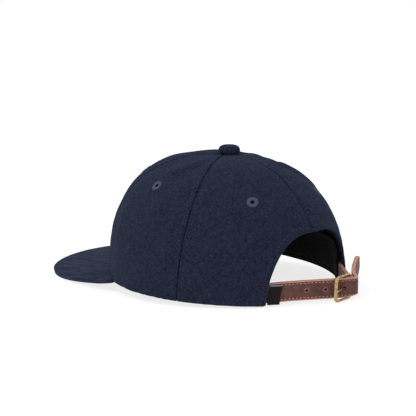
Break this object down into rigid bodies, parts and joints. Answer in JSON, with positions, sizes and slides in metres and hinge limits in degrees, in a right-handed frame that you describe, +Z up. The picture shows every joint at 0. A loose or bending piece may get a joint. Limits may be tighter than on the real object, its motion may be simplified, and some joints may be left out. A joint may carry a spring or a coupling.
{
  "type": "strapback cap",
  "caption": "Six-panel cap with a curved peak, stitched eyelets, a button on top and a buckled leather strap across the rear opening.",
  "frame": {"origin": "middle of the bounding box in plan, on the surface that the cap rests on", "axes": "+X towards the wearer's left, +Y towards the rear strap with the peak towards -Y, +Z up"},
  "size_m": [0.177, 0.2958, 0.1108],
  "materials": {
    "navy_wool": "brushed wool cloth",
    "eyelet_thread": "satin thread",
    "black_lining": "matte woven cloth",
    "black_sweatband": "matte twill",
    "brown_leather": "smooth, slightly waxed",
    "antique_brass": "worn polish",
    "black_woven_tab": "woven ribbon"
  },
  "bodies": {
    "root": {"buckle_frame": "antique_brass", "buckle_prong": "antique_brass", "eyelet_back_left": "eyelet_thread", "eyelet_back_right": "eyelet_thread", "eyelet_front_left": "eyelet_thread", "eyelet_front_right": "eyelet_thread", "eyelet_side_left": "eyelet_thread", "eyelet_side_right": "eyelet_thread", "label_tab": "black_woven_tab", "lining": "black_lining", "long_strap": "brown_leather", "panel_back_left": "navy_wool", "panel_back_right": "navy_wool", "panel_front_left": "navy_wool", "panel_front_right": "navy_wool", "panel_side_left": "navy_wool", "panel_side_right": "navy_wool", "peak": "navy_wool", "short_strap": "brown_leather", "sweatband": "black_sweatband", "top_button": "navy_wool"}
  },
  "joints": []
}
